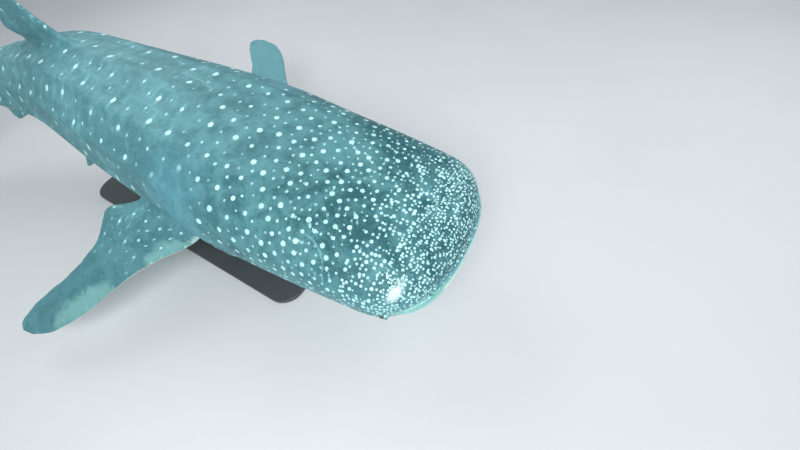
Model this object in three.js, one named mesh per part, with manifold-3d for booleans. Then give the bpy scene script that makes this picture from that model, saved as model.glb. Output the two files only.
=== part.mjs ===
// A whale shark at life size, swimming with its tail swung to its right, held up by a
// flat base and two rods. Millimetres, +Z up, head towards +X, the animal's left towards +Y.
// The body is lofted along a bent spine and parted across it; each fin grows from its part.
// The origin is the bottom centre of the whole model's bounding box.

import * as THREE from 'three';
import Module from 'manifold-3d';

const SIDES = { left: 1, right: -1 };

// Driving dimensions

const TOTAL_LENGTH = 6000;          // snout to the tip of the tail's upper lobe, along the spine
const AXIS_HEIGHT = 770;            // spine line of the head above the floor
const GAP = 0.4;                    // clearance between nodes that touch

// Where the body is parted, as distances behind the snout
const HEAD_END = 1000;
const GILLS_END = 2180;
const TRUNK_END = 3500;
const STEM_END = 4800;

// The spine turns smoothly round these places: centre, length of the turn, yaw to the right
const SPINE_TURNS = [{ centre: 3600, length: 2600, yaw: 0.62 }];

// Body stations: distance behind the snout, half width, top, bottom and level of the widest line
const BODY_STATIONS = [
  [0, 450, 120, -150, -12],
  [200, 470, 168, -212, -20],
  [500, 495, 225, -272, -30],
  [900, 520, 292, -332, -40],
  [1300, 535, 350, -375, -35],
  [1800, 510, 410, -410, -10],
  [2300, 470, 450, -420, 10],
  [2800, 415, 490, -385, 30],
  [3300, 325, 430, -280, 60],
  [3800, 220, 336, -145, 90],
  [4300, 128, 250, -25, 110],
  [4600, 86, 215, 18, 115],
  [4800, 68, 205, 30, 115],
  [5200, 45, 200, 40, 115],
];
// How square a section is, above and below its widest line: 2 is an ellipse
const SQUARE_ABOVE = [[0, 2.6], [500, 2.7], [1200, 2.5], [2200, 2.15], [3500, 2], [5200, 2]];
const SQUARE_BELOW = [[0, 2.4], [500, 2.5], [1200, 2.5], [2200, 2.35], [3500, 2], [5200, 2]];
const SNOUT_WIDTH = { length: 300, power: 2.4 };
const SNOUT_DEPTH = { length: 125, power: 2.4 };

// Long ridges: angle from the back in degrees, half width in degrees, height along the body
const BACK_RIDGE = { angle: 0, spread: 9, heights: [[850, 0], [1400, 12], [2500, 14], [2700, 0]] };
const SIDE_RIDGES = [
  { angle: 28, spread: 7, heights: [[800, 0], [1500, 12], [3300, 12], [3900, 0]] },
  { angle: 58, spread: 7, heights: [[900, 0], [1600, 14], [3500, 13], [4150, 0]] },
  {
    angle: 88, spread: 8,
    heights: [[1500, 0], [2200, 14], [3600, 18], [4350, 60], [4750, 62], [5200, 20]],
  },
];
const PLAIN_ANGLES = [0, 11, 44, 73, 105, 120, 135, 150, 165, 180];

// Gill slits
const GILL_PLACES = [1115, 1200, 1285, 1365, 1440];
const GILL_SPAN = [[60, 122], [60, 122], [60, 120], [61, 114], [63, 108]];
const GILL_RINGS = [[-46, 0], [-6, 9], [2, -24], [12, -2]];   // along the body, out of the skin
const GILL_BULGE = 34;              // how far the middle of a slit bows towards the tail

// Head details
const MOUTH = { level: -42, reach: 285, halfWidth: 452, halfGap: 23, centre: 30 };
const LIP = { width: 17, depth: 19, offset: 27, halfSpan: 405, set: 4, thinning: 0.55 };
const NOSTRIL = { side: 268, above: 42, turn: 0.35, groove: [24, 11, 26] };
const NOSTRIL_FLAP = { back: 2, inward: 30, below: 6, size: [16, 20, 24] };
const EYE = { place: 195, level: -52, radius: 25, sunk: 15 };
const EYE_RIM = { radius: 28, thickness: 8, sunk: 4 };
const EYE_CLEARANCE = 0.64;
const SPIRACLE = { place: 370, level: -14, size: [20, 16, 12] };

// Fins: rows hold the distance out from the root line, the front edge, the back edge and the
// thickness; edges are measured towards the tail from the front of the root
const PECTORAL = {
  place: 1520, angle: 112, pivot: 220, curl: -60,
  pose: {
    left: { turn: 0.185, droop: -0.084, tilt: -0.02 },
    right: { turn: -0.13, droop: 0.358, tilt: -0.164 },
  },
  rows: [
    [-146, -68, 410, 116], [0, -27, 547, 108], [78, 0, 700, 95], [168, 74, 704, 82],
    [280, 205, 680, 71], [437, 355, 722, 57], [594, 467, 802, 45], [739, 569, 905, 34],
    [863, 683, 978, 24], [952, 798, 1006, 14], [995, 901, 982, 7],
  ],
};
const FIRST_DORSAL = {
  place: 2620, angle: 0,
  rows: [
    [-90, -60, 540, 80], [0, 0, 560, 74], [45, 72, 640, 66], [85, 142, 690, 58],
    [150, 214, 640, 46], [240, 286, 612, 35], [340, 370, 610, 26], [430, 458, 620, 17],
    [485, 540, 626, 11], [510, 594, 614, 6],
  ],
};
const SECOND_DORSAL = {
  place: 3830, angle: 0,
  rows: [
    [-50, -30, 250, 30], [0, 0, 262, 26], [28, 26, 338, 21], [60, 56, 318, 17],
    [110, 108, 300, 12], [165, 172, 304, 8], [198, 238, 298, 5],
  ],
};
const ANAL = {
  place: 3940, angle: 180,
  rows: [
    [-50, -30, 200, 28], [0, 0, 210, 24], [26, 26, 280, 20], [58, 58, 268, 16],
    [108, 112, 262, 12], [160, 176, 278, 8], [190, 240, 276, 5],
  ],
};
const PELVIC = {
  place: 3040, angle: 146, pivot: 120, curl: 0,
  pose: { left: { turn: 0, droop: 0.86, tilt: 0 }, right: { turn: 0, droop: 0.86, tilt: 0 } },
  rows: [
    [-70, -40, 225, 44], [0, 0, 240, 38], [50, 38, 318, 31], [105, 84, 322, 24],
    [165, 142, 300, 17], [215, 202, 296, 11], [243, 256, 288, 6],
  ],
};
// Tail lobes: a root point, a direction in the middle plane, and rows as above
const UPPER_LOBE = {
  place: 4745, level: 118, rise: 0.76, sag: 70,
  rows: [
    [-30, -98, 96, 96], [110, -110, 140, 90], [260, -116, 214, 78], [400, -114, 262, 66],
    [560, -104, 252, 54], [780, -84, 220, 42], [1010, -56, 188, 31], [1200, -24, 162, 22],
    [1360, 14, 144, 14], [1480, 58, 128, 9], [1535, 88, 112, 5],
  ],
};
const LOWER_LOBE = {
  place: 4745, level: 108, rise: -0.92, sag: -36,
  rows: [
    [-20, -80, 80, 88], [110, -96, 140, 72], [240, -96, 208, 56], [380, -80, 198, 42],
    [530, -56, 162, 31], [670, -24, 130, 22], [790, 14, 104, 13], [850, 44, 84, 6],
  ],
};

// The tapering core inside the upper lobe: distance past the stem and share of its section
const TAIL_CORE = { rise: 0.62, rows: [[0, 1], [70, 0.8], [150, 0.6], [240, 0.4], [330, 0.2]] };

// Stand
const BASE = { front: 1000, back: 3420, halfWidth: 560, thickness: 36, corner: 150, edge: 6 };
const ROD = { radius: 32, sink: 120, sides: 32 };
const COLLAR = { radius: 78, height: 22, straight: 13, chamfer: 8 };
const ROD_PLACES = { front: 1560, rear: 2780 };

// Colours
const FINISH = {
  back: { color: 0x47757a, roughness: 0.55, metalness: 0 },
  fins: { color: 0x4f7f84, roughness: 0.55, metalness: 0 },
  eye: { color: 0x121a1c, roughness: 0.15, metalness: 0 },
  base: { color: 0x3c4043, roughness: 0.5, metalness: 0 },
  rod: { color: 0xb4b8ba, roughness: 0.3, metalness: 1 },
};

const wasm = await Module();
wasm.setup();

const radians = (degrees) => degrees * Math.PI / 180;
const clamp = (v, low, high) => Math.min(high, Math.max(low, v));
const smooth = (u) => u * u * (3 - 2 * u);
const signedPower = (v, p) => Math.sign(v) * Math.abs(v) ** p;

// A smooth curve through rows that never overshoots; the value is taken from one column
function curve(rows, column = 1) {
  const x = rows.map((row) => row[0]);
  const y = rows.map((row) => row[column]);
  const last = x.length - 1;
  const step = x.slice(1).map((v, i) => v - x[i]);
  const rise = step.map((h, i) => (y[i + 1] - y[i]) / h);
  const slope = x.map((_, i) => {
    if (i === 0) return rise[0];
    if (i === last) return rise[last - 1];
    if (rise[i - 1] * rise[i] <= 0) return 0;
    return (rise[i - 1] * step[i] + rise[i] * step[i - 1]) / (step[i] + step[i - 1]);
  });
  return (value) => {
    const v = clamp(value, x[0], x[last]);
    let i = 0;
    while (i < last - 1 && v >= x[i + 1]) i += 1;
    const u = (v - x[i]) / step[i];
    return (1 + 2 * u) * (1 - u) ** 2 * y[i] + u * (1 - u) ** 2 * step[i] * slope[i]
      + u * u * (3 - 2 * u) * y[i + 1] + u * u * (u - 1) * step[i] * slope[i + 1];
  };
}

// Spine

const yawAt = (s) => SPINE_TURNS.reduce((yaw, turn) => {
  const u = clamp((s - turn.centre + turn.length / 2) / turn.length, 0, 1);
  return yaw + turn.yaw * smooth(u);
}, 0);

const SPINE_STEP = 10;
const SPINE_SPARE = 400;
const spine = [new THREE.Vector2(0, 0)];
for (let s = SPINE_STEP; s <= TOTAL_LENGTH + SPINE_SPARE; s += SPINE_STEP) {
  const yaw = yawAt(s - SPINE_STEP / 2);
  const before = spine[spine.length - 1];
  spine.push(new THREE.Vector2(
    before.x - Math.cos(yaw) * SPINE_STEP,
    before.y - Math.sin(yaw) * SPINE_STEP,
  ));
}

// The point of the model at a distance behind the snout, out to the animal's left, and up
function place(s, left, up) {
  const at = clamp(s / SPINE_STEP, 0, spine.length - 1.001);
  const i = Math.floor(at);
  const base = spine[i].clone().lerp(spine[i + 1], at - i);
  const yaw = yawAt(s);
  const past = Math.min(s, 0);
  return new THREE.Vector3(
    base.x - Math.sin(yaw) * left - past,
    base.y + Math.cos(yaw) * left,
    AXIS_HEIGHT + up,
  );
}

// Body section

const halfWidth = curve(BODY_STATIONS, 1);
const topLevel = curve(BODY_STATIONS, 2);
const bottomLevel = curve(BODY_STATIONS, 3);
const wideLevel = curve(BODY_STATIONS, 4);
const squareAbove = curve(SQUARE_ABOVE);
const squareBelow = curve(SQUARE_BELOW);
const rounding = (s, { length, power }) => (
  (1 - clamp(1 - s / length, 0, 1) ** power) ** (1 / power)
);

const ridges = [BACK_RIDGE, ...SIDE_RIDGES].map((ridge) => ({
  ...ridge,
  height: curve(ridge.heights),
}));

// How far the ridges lift the skin; the angle is in degrees from the back
function ridgeLift(s, degrees) {
  const side = degrees > 180 ? 360 - degrees : degrees;
  return ridges.reduce((lift, ridge) => {
    const near = clamp(1 - Math.abs(side - ridge.angle) / ridge.spread, 0, 1);
    return lift + near * ridge.height(s);
  }, 0);
}

// How much of a gill slit's form a point on the side has, from 0 to 1
function gillShare(degrees, span) {
  const side = degrees > 180 ? 360 - degrees : degrees;
  const middle = (span[0] + span[1]) / 2;
  const u = Math.abs(side - middle) / ((span[1] - span[0]) / 2);
  return u >= 1 ? 0 : Math.sqrt(1 - u * u);
}

// A point of the skin in the section at s, as [left, up]
function sectionPoint(s, degrees, grow = 0) {
  const t = radians(degrees);
  const wide = halfWidth(s) * rounding(s, SNOUT_WIDTH);
  const middle = wideLevel(s);
  const depth = rounding(s, SNOUT_DEPTH);
  const above = Math.cos(t) >= 0;
  const height = above ? (topLevel(s) - middle) * depth : (middle - bottomLevel(s)) * depth;
  const power = 2 / (above ? squareAbove(s) : squareBelow(s));
  const left = wide * signedPower(Math.sin(t), power);
  const up = height * signedPower(Math.cos(t), power);
  const out = ridgeLift(s, degrees) + grow;
  const normal = new THREE.Vector2(left / Math.max(wide, 1) ** 2, up / Math.max(height, 1) ** 2);
  if (normal.length() > 0) normal.normalize();
  return [left + normal.x * out, middle + up + normal.y * out];
}

const sideAngles = [...PLAIN_ANGLES];
SIDE_RIDGES.forEach(({ angle, spread }) => sideAngles.push(angle - spread, angle, angle + spread));
sideAngles.sort((a, b) => a - b);
const RING_ANGLES = [
  ...sideAngles,
  ...sideAngles.filter((a) => a > 0 && a < 180).map((a) => 360 - a).reverse(),
];

// Rings: each is a list of points in the same order round the body
function ring(s, grow) {
  return RING_ANGLES.map((degrees) => place(s, ...sectionPoint(s, degrees, grow)));
}

function gillRing(slit, [along, out], grow) {
  const s = GILL_PLACES[slit] + along;
  return RING_ANGLES.map((degrees) => {
    const share = gillShare(degrees, GILL_SPAN[slit]);
    const bow = GILL_BULGE * gillShare(degrees, GILL_SPAN[0]) ** 2;
    const lift = grow > 0 ? grow + Math.max(out, 0) * share : out * share;
    return place(s + bow, ...sectionPoint(s + bow, degrees, lift));
  });
}

// Solids

// A closed surface through rings of points, with a flat end on the first and the last
function loft(rings) {
  const count = rings[0].length;
  const positions = rings.flat().flatMap((p) => [p.x, p.y, p.z]);
  const centre = (points) => points
    .reduce((sum, p) => sum.add(p), new THREE.Vector3()).divideScalar(points.length);
  const ends = [centre(rings[0]), centre(rings[rings.length - 1])];
  ends.forEach((p) => positions.push(p.x, p.y, p.z));
  const first = rings.length * count;
  const index = [];
  for (let r = 0; r < rings.length - 1; r += 1) {
    for (let c = 0; c < count; c += 1) {
      const next = (c + 1) % count;
      const a = r * count + c;
      const b = r * count + next;
      index.push(a, b, a + count, b, b + count, a + count);
    }
  }
  for (let c = 0; c < count; c += 1) {
    const next = (c + 1) % count;
    const top = (rings.length - 1) * count;
    index.push(first, next, c);
    index.push(first + 1, top + c, top + next);
  }
  const geometry = new THREE.BufferGeometry();
  geometry.setAttribute('position', new THREE.Float32BufferAttribute(positions, 3));
  geometry.setIndex(index);
  return toSolid(geometry);
}

// A manifold solid from a geometry, turned the right way out
function toSolid(geometry) {
  const merged = weld(geometry);
  const make = (triVerts) => new wasm.Manifold(new wasm.Mesh({
    numProp: 3, vertProperties: merged.points, triVerts,
  }));
  const solid = make(merged.faces);
  if (solid.volume() > 0) return solid;
  const flipped = new Uint32Array(merged.faces.length);
  for (let i = 0; i < flipped.length; i += 3) {
    flipped.set([merged.faces[i], merged.faces[i + 2], merged.faces[i + 1]], i);
  }
  return make(flipped);
}

// Vertices at the same place are made one, and faces without area are dropped
function weld(geometry) {
  const source = geometry.getAttribute('position');
  const order = geometry.index ? geometry.index.array : [...Array(source.count).keys()];
  const places = new Map();
  const points = [];
  const numberOf = (i) => {
    const p = [source.getX(i), source.getY(i), source.getZ(i)];
    const key = p.map((v) => Math.round(v * 1000)).join();
    if (!places.has(key)) {
      places.set(key, points.length / 3);
      points.push(...p);
    }
    return places.get(key);
  };
  const faces = [];
  for (let i = 0; i < order.length; i += 3) {
    const [a, b, c] = [order[i], order[i + 1], order[i + 2]].map(numberOf);
    if (a !== b && b !== c && c !== a) faces.push(a, b, c);
  }
  return { points: new Float32Array(points), faces: new Uint32Array(faces) };
}

// The largest closed surface of a solid
function largest(solid) {
  return solid.decompose().reduce((best, part) => (
    Math.abs(part.volume()) > Math.abs(best.volume()) ? part : best
  ));
}

// Stations of a length of body, closer together where the shape turns fast
function stations(from, to, step) {
  const count = Math.max(1, Math.round((to - from) / step));
  return Array.from({ length: count + 1 }, (_, i) => from + (to - from) * i / count);
}

const SNOUT_TIP = 1.5;
const SNOUT_RINGS = 12;
const RING_STEP = { head: 88, gills: 95, trunk: 105, stem: 95 };
const GILLS_CLEAR = 90;
const OVERLAP = 40;
const headStations = [
  ...Array.from({ length: SNOUT_RINGS }, (_, i) => (
    SNOUT_TIP + (SNOUT_WIDTH.length - SNOUT_TIP) * (1 - Math.cos(i / SNOUT_RINGS * Math.PI / 2))
  )),
  ...stations(SNOUT_WIDTH.length, HEAD_END, RING_STEP.head),
];
const gapAfter = (s) => s + GAP;
const bodyPart = (places, grow = 0) => loft(places.map((s) => ring(s, grow)));

function gillPart(grow = 0) {
  const rings = [ring(gapAfter(HEAD_END), grow)];
  GILL_PLACES.forEach((_, slit) => {
    GILL_RINGS.forEach((row) => rings.push(gillRing(slit, row, grow)));
  });
  const last = GILL_PLACES[GILL_PLACES.length - 1];
  stations(last + GILLS_CLEAR, GILLS_END, RING_STEP.gills).forEach((s) => rings.push(ring(s, grow)));
  return loft(rings);
}

const trunkStations = stations(gapAfter(GILLS_END), TRUNK_END, RING_STEP.trunk);
const stemStations = stations(gapAfter(TRUNK_END), STEM_END, RING_STEP.stem);

// Head

// The distance behind the snout at which the head is as wide as a given half width
function frontAt(side) {
  let [low, high] = [0, SNOUT_WIDTH.length];
  for (let i = 0; i < 40; i += 1) {
    const s = (low + high) / 2;
    if (halfWidth(s) * rounding(s, SNOUT_WIDTH) < side) low = s;
    else high = s;
  }
  return low;
}

function ellipsoid(centre, radii, turn = 0, sides = 10) {
  const geometry = new THREE.SphereGeometry(1, sides, Math.ceil(sides / 2));
  geometry.scale(...radii);
  geometry.rotateZ(turn);
  geometry.translate(centre.x, centre.y, centre.z);
  return toSolid(geometry);
}

// A lip is a flattened tube that follows the front of the head, thinner at the corners
function lip(side) {
  const steps = 18;
  const corners = 8;
  const nearby = 2;
  const rings = [];
  for (let i = 0; i <= steps; i += 1) {
    const across = Math.sin((i / steps - 0.5) * Math.PI);
    const left = LIP.halfSpan * across;
    const taper = 1 - LIP.thinning * across ** 4;
    const s = frontAt(Math.abs(left));
    const ahead = frontAt(Math.abs(left) + nearby);
    const outward = Math.atan2((ahead - s) / nearby * Math.sign(left || 1), 1);
    const centre = place(s + LIP.set, left, MOUTH.level + side * LIP.offset * taper);
    rings.push(Array.from({ length: corners }, (_, c) => {
      const a = c / corners * Math.PI * 2;
      const out = LIP.depth * taper * Math.cos(a);
      return centre.clone().add(new THREE.Vector3(
        out * Math.cos(outward),
        out * Math.sin(outward),
        LIP.width * taper * Math.sin(a),
      ));
    }));
  }
  return loft(rings);
}

// The middle of an eye, sunk in the side of the head
function eyeCentre(side) {
  const skin = halfWidth(EYE.place) * rounding(EYE.place, SNOUT_WIDTH);
  return place(EYE.place, side * (skin - EYE.sunk), EYE.level);
}

function eyeRim(side) {
  const geometry = new THREE.TorusGeometry(EYE_RIM.radius, EYE_RIM.thickness, 6, 18);
  geometry.rotateX(Math.PI / 2);
  geometry.translate(0, side * (EYE.sunk - EYE_RIM.sunk), 0);
  const centre = eyeCentre(side);
  geometry.translate(centre.x, centre.y, centre.z);
  return toSolid(geometry);
}

function sphere(centre, radius) {
  const geometry = new THREE.IcosahedronGeometry(radius, 2);
  geometry.translate(centre.x, centre.y, centre.z);
  return toSolid(geometry);
}

function head() {
  let solid = bodyPart(headStations);
  [1, -1].forEach((side) => { solid = solid.add(lip(side)); });
  const mouthCentre = place(MOUTH.centre, 0, MOUTH.level);
  const slit = [MOUTH.reach, MOUTH.halfWidth, MOUTH.halfGap];
  solid = solid.subtract(ellipsoid(mouthCentre, slit, 0, 28));
  const nostrilPlace = frontAt(NOSTRIL.side);
  const nostrilLevel = MOUTH.level + NOSTRIL.above;
  Object.values(SIDES).forEach((side) => {
    const groove = place(nostrilPlace, side * NOSTRIL.side, nostrilLevel);
    const flap = place(
      nostrilPlace + NOSTRIL_FLAP.back,
      side * (NOSTRIL.side - NOSTRIL_FLAP.inward),
      nostrilLevel - NOSTRIL_FLAP.below,
    );
    solid = solid.add(ellipsoid(flap, NOSTRIL_FLAP.size, -side * NOSTRIL.turn));
    solid = solid.subtract(ellipsoid(groove, NOSTRIL.groove, -side * NOSTRIL.turn));
    solid = solid.add(eyeRim(side));
    solid = solid.subtract(sphere(eyeCentre(side), EYE.radius + EYE_CLEARANCE));
    const skin = halfWidth(SPIRACLE.place) * rounding(SPIRACLE.place, SNOUT_WIDTH);
    const hole = place(SPIRACLE.place, side * skin, SPIRACLE.level);
    solid = solid.subtract(ellipsoid(hole, SPIRACLE.size));
  });
  return largest(solid);
}

// Fins

const CHORD_STEPS = [0, 0.06, 0.18, 0.38, 0.62, 0.84, 1];

// The outline of a fin's section: out along one face and back along the other
function finSection(front, back, thickness, grow) {
  const long = back - front;
  const half = (u) => (
    thickness / 2 * Math.sqrt(clamp(4 * u * (1 - u), 0, 1)) * (1.25 - 0.75 * u) + grow
  );
  const along = (u) => front - grow + (long + 2 * grow) * u;
  const face = CHORD_STEPS.slice(1, -1);
  return [
    [along(0), 0],
    ...face.map((u) => [along(u), half(u)]),
    [along(1), 0],
    ...face.slice().reverse().map((u) => [along(u), -half(u)]),
  ];
}

function finRows(rows, steps) {
  const [front, back, thick] = [1, 2, 3].map((column) => curve(rows, column));
  const [low, high] = [rows[0][0], rows[rows.length - 1][0]];
  return Array.from({ length: steps + 1 }, (_, i) => {
    const r = low + (high - low) * i / steps;
    return { r, front: front(r), back: back(r), thickness: thick(r) };
  });
}

// A fin on the body's middle line, standing up from the back or down from the belly
function middleFin(fin, steps, grow = 0) {
  const sign = fin.angle === 0 ? 1 : -1;
  const level = (s) => sectionPoint(s, fin.angle)[1];
  return loft(finRows(fin.rows, steps).map(({ r, front, back, thickness }) => (
    finSection(front, back, thickness, grow).map(([along, across]) => {
      const onBody = clamp(along, 0, fin.rows[1][2]);
      const root = level(fin.place + onBody);
      return place(fin.place + along, across, root + sign * (r + (r > 0 ? grow : -grow)));
    })
  )));
}

// A fin on one side of the body: turned about its pivot, tilted, then let down from its root
function pairedFin(fin, name, steps, grow = 0) {
  const side = SIDES[name];
  const { turn, droop, tilt } = fin.pose[name];
  const degrees = side > 0 ? fin.angle : 360 - fin.angle;
  const middle = fin.place + fin.pivot;
  const reach = fin.rows[fin.rows.length - 1][0];
  const [left, up] = sectionPoint(middle, degrees);
  return loft(finRows(fin.rows, steps).map(({ r, front, back, thickness }) => {
    const bend = fin.curl * clamp(r / reach, 0, 1) ** 2;
    return finSection(front, back, thickness, grow).map(([along, across]) => {
      const flat = new THREE.Vector2(r, along - fin.pivot).rotateAround(new THREE.Vector2(), turn);
      const lift = across - tilt * flat.y + bend;
      const out = left + side * (flat.x * Math.cos(droop) + lift * Math.sin(droop));
      const rise = up - flat.x * Math.sin(droop) + lift * Math.cos(droop);
      return place(middle + flat.y, out, rise);
    });
  }));
}

// A tail lobe in the middle plane
function lobe(fin, steps, grow = 0) {
  const [along, up] = [Math.cos(fin.rise), Math.sin(fin.rise)];
  const reach = fin.rows[fin.rows.length - 1][0];
  const sign = Math.sign(fin.rise);
  return loft(finRows(fin.rows, steps).map(({ r, front, back, thickness }) => {
    const bend = fin.sag * clamp(r / reach, 0, 1) ** 2;
    return finSection(front, back, thickness, grow).map(([chord, across]) => {
      const s = fin.place + along * r + Math.abs(up) * chord;
      const level = fin.level + up * r - sign * along * chord - bend;
      return place(s, across, level);
    });
  }));
}

// The core of the upper lobe grows by half as much again, because its sides slope
function tailCore(grow = 0) {
  return loft(TAIL_CORE.rows.map(([along, share], i) => {
    const s = STEM_END + along;
    const lift = along * TAIL_CORE.rise;
    const end = i === 0 ? gapAfter(0) - grow : grow;
    return RING_ANGLES.map((degrees) => {
      const [left, up] = sectionPoint(s, degrees);
      const middle = wideLevel(s);
      const out = new THREE.Vector2(left, up - middle).multiplyScalar(share);
      out.setLength(out.length() + grow * 1.5);
      return place(s + end, out.x, middle + out.y + lift);
    });
  }));
}

const body = {
  gill_section: gillPart(),
  trunk: bodyPart(trunkStations),
  tail_stem: bodyPart(stemStations),
};
const grown = {
  gill_section: gillPart(GAP),
  trunk: bodyPart([GILLS_END - OVERLAP, ...trunkStations, TRUNK_END + OVERLAP], GAP),
  tail_stem: bodyPart([TRUNK_END - OVERLAP, ...stemStations, STEM_END + GAP], GAP),
};

const upperLobe = (grow) => lobe(UPPER_LOBE, 16, grow).add(tailCore(grow));
const finSolids = {
  first_dorsal_fin: middleFin(FIRST_DORSAL, 13).subtract(grown.trunk),
  second_dorsal_fin: middleFin(SECOND_DORSAL, 9).subtract(grown.tail_stem),
  anal_fin: middleFin(ANAL, 9).subtract(grown.tail_stem),
  caudal_fin_upper_lobe: upperLobe(0).subtract(grown.tail_stem),
  caudal_fin_lower_lobe: lobe(LOWER_LOBE, 11).subtract(grown.tail_stem).subtract(upperLobe(GAP)),
};
Object.keys(SIDES).forEach((name) => {
  finSolids[`pectoral_fin_${name}`] = pairedFin(PECTORAL, name, 18)
    .subtract(grown.gill_section).subtract(grown.trunk);
  finSolids[`pelvic_fin_${name}`] = pairedFin(PELVIC, name, 9).subtract(grown.trunk);
});

// Stand

// A flat rounded base that follows the middle of the body
function baseSolid() {
  const length = BASE.back - BASE.front;
  const wide = BASE.halfWidth - BASE.corner;
  const long = length / 2 - BASE.corner;
  const shape = new THREE.Shape();
  shape.absarc(long, wide, BASE.corner, 0, Math.PI / 2);
  shape.absarc(-long, wide, BASE.corner, Math.PI / 2, Math.PI);
  shape.absarc(-long, -wide, BASE.corner, Math.PI, Math.PI * 1.5);
  shape.absarc(long, -wide, BASE.corner, Math.PI * 1.5, Math.PI * 2);
  const geometry = new THREE.ExtrudeGeometry(shape, {
    depth: BASE.thickness - 2 * BASE.edge,
    bevelSize: BASE.edge,
    bevelThickness: BASE.edge,
    bevelOffset: -BASE.edge,
    bevelSegments: 2,
    curveSegments: 6,
  });
  geometry.translate(-(BASE.front + BASE.back) / 2, 0, BASE.edge);
  return toSolid(geometry);
}

// A rod with a collar at its foot, up to the belly
function rodSolid(s) {
  const foot = BASE.thickness + GAP;
  const top = AXIS_HEIGHT + bottomLevel(s) + ROD.sink;
  const profile = [
    [0, foot], [COLLAR.radius, foot], [COLLAR.radius, foot + COLLAR.straight],
    [COLLAR.radius - COLLAR.chamfer, foot + COLLAR.height], [ROD.radius, foot + COLLAR.height],
    [ROD.radius, top], [0, top],
  ].map(([r, z]) => new THREE.Vector2(r, z));
  const geometry = new THREE.LatheGeometry(profile, ROD.sides);
  geometry.rotateX(Math.PI / 2);
  const at = place(s, 0, 0);
  geometry.translate(at.x, at.y, 0);
  return toSolid(geometry);
}

// Model

const model = new THREE.Group();

function addNode(name, solid, finish) {
  const mesh = solid.getMesh();
  const geometry = new THREE.BufferGeometry();
  const points = new Float32Array(mesh.numVert * 3);
  for (let i = 0; i < mesh.numVert; i += 1) {
    for (let k = 0; k < 3; k += 1) points[i * 3 + k] = mesh.vertProperties[i * mesh.numProp + k];
  }
  geometry.setAttribute('position', new THREE.BufferAttribute(points, 3));
  geometry.setIndex(new THREE.BufferAttribute(new Uint32Array(mesh.triVerts), 1));
  geometry.computeVertexNormals();
  const node = new THREE.Mesh(geometry, new THREE.MeshStandardMaterial(FINISH[finish]));
  node.name = name;
  model.add(node);
}

addNode('head', head(), 'back');
Object.entries(body).forEach(([name, solid]) => addNode(name, largest(solid), 'back'));
Object.entries(finSolids).forEach(([name, solid]) => addNode(name, largest(solid), 'fins'));
Object.entries(SIDES).forEach(([name, side]) => {
  addNode(`eye_${name}`, sphere(eyeCentre(side), EYE.radius), 'eye');
});
addNode('stand_base', baseSolid(), 'base');
addNode('stand_rod_front', largest(rodSolid(ROD_PLACES.front).subtract(grown.gill_section)), 'rod');
addNode('stand_rod_rear', largest(rodSolid(ROD_PLACES.rear).subtract(grown.trunk)), 'rod');

// The origin moves to the bottom centre of the bounding box
const box = new THREE.Box3().setFromObject(model);
model.position.set(-(box.min.x + box.max.x) / 2, -(box.min.y + box.max.y) / 2, -box.min.z);

export default model;
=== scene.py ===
# A life-size whale shark on a display stand: one spotted skin over the solids of flesh, with
# finished eyes and a finished stand. Metres, head towards +X, the animal's left towards +Y.

import math
import random

import bmesh
import bpy
import numpy as np
from mathutils import Matrix, Vector
from mathutils.kdtree import KDTree


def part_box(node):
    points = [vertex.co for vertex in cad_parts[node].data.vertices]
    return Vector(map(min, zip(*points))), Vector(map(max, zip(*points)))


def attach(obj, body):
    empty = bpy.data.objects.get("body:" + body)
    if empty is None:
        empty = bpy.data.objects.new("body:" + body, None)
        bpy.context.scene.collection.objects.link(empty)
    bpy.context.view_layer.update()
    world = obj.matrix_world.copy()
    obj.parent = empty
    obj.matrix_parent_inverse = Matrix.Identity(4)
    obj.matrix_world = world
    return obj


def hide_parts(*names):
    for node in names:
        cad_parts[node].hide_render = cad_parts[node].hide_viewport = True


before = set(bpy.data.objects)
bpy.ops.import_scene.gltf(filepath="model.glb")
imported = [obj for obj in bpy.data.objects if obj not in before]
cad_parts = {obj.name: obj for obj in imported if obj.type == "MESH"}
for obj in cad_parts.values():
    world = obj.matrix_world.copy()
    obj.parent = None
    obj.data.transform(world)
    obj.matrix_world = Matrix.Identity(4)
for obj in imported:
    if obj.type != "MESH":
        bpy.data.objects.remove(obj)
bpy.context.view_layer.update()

# Sizes of the body, the same as the solids'

SIDES = {"left": 1, "right": -1}
STEM_END = 4.800
SPINE_TURN = {"centre": 3.600, "length": 2.600, "yaw": 0.62}
# Distance behind the snout, half width, top, bottom and level of the widest line
BODY_STATIONS = [
    (0.0, 0.450, 0.120, -0.150, -0.012),
    (0.2, 0.470, 0.168, -0.212, -0.020),
    (0.5, 0.495, 0.225, -0.272, -0.030),
    (0.9, 0.520, 0.292, -0.332, -0.040),
    (1.3, 0.535, 0.350, -0.375, -0.035),
    (1.8, 0.510, 0.410, -0.410, -0.010),
    (2.3, 0.470, 0.450, -0.420, 0.010),
    (2.8, 0.415, 0.490, -0.385, 0.030),
    (3.3, 0.325, 0.430, -0.280, 0.060),
    (3.8, 0.220, 0.336, -0.145, 0.090),
    (4.3, 0.128, 0.250, -0.025, 0.110),
    (4.6, 0.086, 0.215, 0.018, 0.115),
    (4.8, 0.068, 0.205, 0.030, 0.115),
    (5.2, 0.045, 0.200, 0.040, 0.115),
]
SQUARE_ABOVE = [(0.0, 2.6), (0.5, 2.7), (1.2, 2.5), (2.2, 2.15), (3.5, 2.0), (5.2, 2.0)]
SQUARE_BELOW = [(0.0, 2.4), (0.5, 2.5), (1.2, 2.5), (2.2, 2.35), (3.5, 2.0), (5.2, 2.0)]
SNOUT_WIDTH = (0.300, 2.4)
SNOUT_DEPTH = (0.125, 2.4)
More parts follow.
